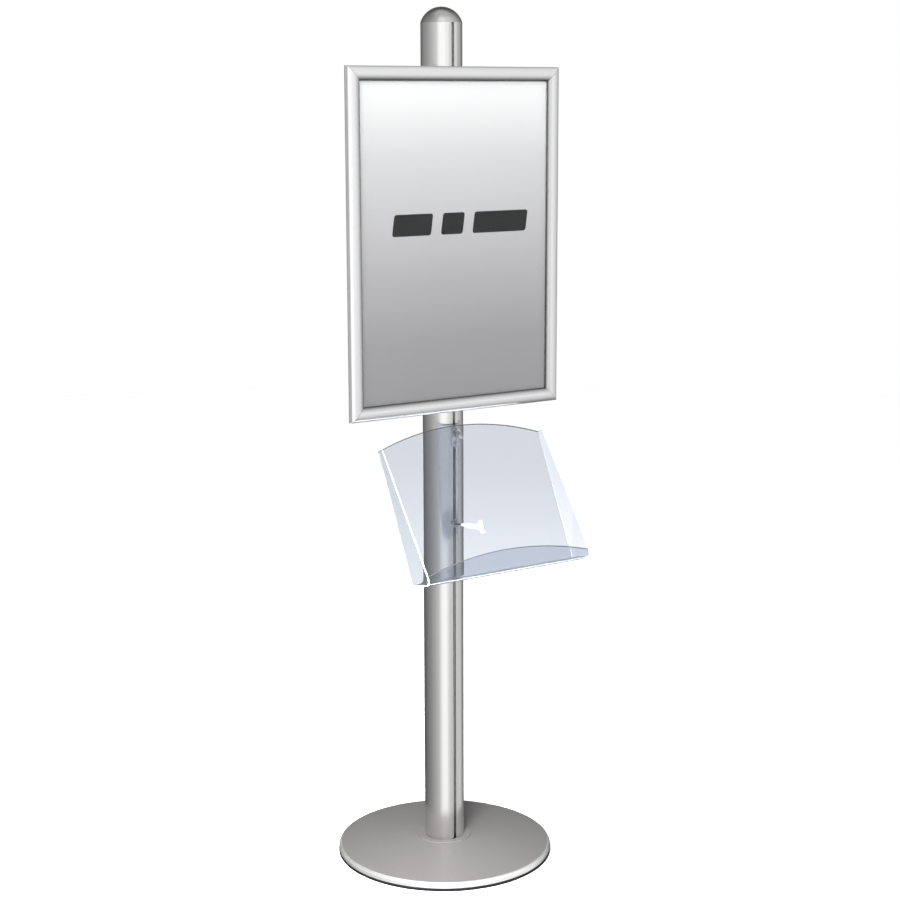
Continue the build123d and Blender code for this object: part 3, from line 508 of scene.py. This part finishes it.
def make_world():
    """Plain pale surroundings for the eye, and soft studio walls for light and reflections."""
    world = bpy.data.worlds.new("studio")
    bpy.context.scene.world = world
    world.use_nodes = True
    s = Shader(world.node_tree)
    direction = s.add("ShaderNodeTexCoord").outputs["Generated"]
    turn = s.math("ARCTAN2", s.dot(direction, TO_RIGHT), s.dot(direction, TO_CAMERA))
    round_about = s.span(turn, -math.pi, math.pi)
    brightest = max(value for _, value in HIGH_WALLS)
    low_walls, high_walls = (
        s.ramp(round_about, *[((degrees + 180) / 360, value / brightest) for degrees, value in walls])
        for walls in (LOW_WALLS, HIGH_WALLS)
    )
    height = s.dot(direction, UP)
    walls = s.mix(s.span(height, -0.30, -0.06), low_walls, high_walls)
    above = s.span(height, 0.82, 0.995)
    below = s.span(height, -0.36, -0.80)
    light = s.mix(above, walls, CEILING / brightest)
    light = s.mix(below, light, FLOOR_SIDE / brightest)
    studio = s.add("ShaderNodeBackground")
    s.put(studio.inputs["Color"], light)
    studio.inputs["Strength"].default_value = brightest
    plain = s.add("ShaderNodeBackground")
    s.put(plain.inputs["Color"], 1.0)
    ray = s.add("ShaderNodeLightPath")
    seen = s.math("MAXIMUM", ray.outputs["Is Camera Ray"], ray.outputs["Is Transmission Ray"])
    seen = s.math("MULTIPLY", seen, s.math("LESS_THAN", ray.outputs["Glossy Depth"], 0.5))
    output = s.add("ShaderNodeOutputWorld")
    s.put(output.inputs["Surface"], s.blend(seen, studio.outputs[0], plain.outputs[0]))


def soft_box(name, place, aim, size, power, spread=math.pi):
    """Large lamp that lights matt surfaces; the walls above already give the reflections."""
    data = bpy.data.lights.new(name, "AREA")
    data.shape = "RECTANGLE"
    data.size, data.size_y = size
    data.energy = power
    data.spread = spread
    light = link_object(name, data)
    light.location = place
    light.rotation_mode = "QUATERNION"
    light.rotation_quaternion = (aim - place).to_track_quat("-Z", "Y")
    light.visible_camera = False
    light.visible_glossy = False
    light.visible_transmission = False


def make_lights():
    middle = Vector((0.0, 0.0, 1.1))
    foot = Vector((0.0, 0.0, 0.0))
    soft_box("key", from_stand(2.6, -1.4, 3.2), middle, (2.0, 2.0), 45)
    soft_box("back", from_stand(-2.4, 0.8, 2.8), middle, (2.4, 2.0), 30)
    soft_box("low_front", from_stand(1.3, -0.2, 0.9), foot, (0.5, 0.3), 27, math.radians(75))
    data = bpy.data.lights.new("overhead", "SUN")
    data.energy = 1.9
    data.angle = math.radians(50)
    overhead = link_object("overhead", data)
    overhead.rotation_mode = "QUATERNION"
    overhead.rotation_quaternion = (-from_stand(0.35, -0.25, 1.0)).to_track_quat("-Z", "Y")
    overhead.visible_glossy = False


FLOOR_RADIUS = 7.0
FLOOR_SIDES = 128


def make_floor():
    """Pale disc under the stand; reflections are left to the studio walls."""
    turns = [2 * math.pi * index / FLOOR_SIDES for index in range(FLOOR_SIDES)]
    corners = [(FLOOR_RADIUS * math.cos(t), FLOOR_RADIUS * math.sin(t), cad_low.z) for t in turns]
    mesh = bpy.data.meshes.new("floor")
    mesh.from_pydata(corners, [], [range(FLOOR_SIDES)])
    floor = link_object("floor", mesh)
    material, s = new_material("pale_floor")
    grain = s.noise(s.place(), 120.0, 3.0)
    tone = s.mix(s.span(grain, 0.3, 0.7), 0.90, 0.92)
    s.surface(s.principled(Base_Color=tone, Roughness=s.span(grain, 0.3, 0.7, 0.7, 0.85)))
    mesh.materials.append(material)
    floor.visible_glossy = False


make_camera()
dress_cad_nodes()
make_world()
make_lights()
make_floor()

view = bpy.context.scene.view_settings
view.view_transform = "Standard"
view.look = "None"
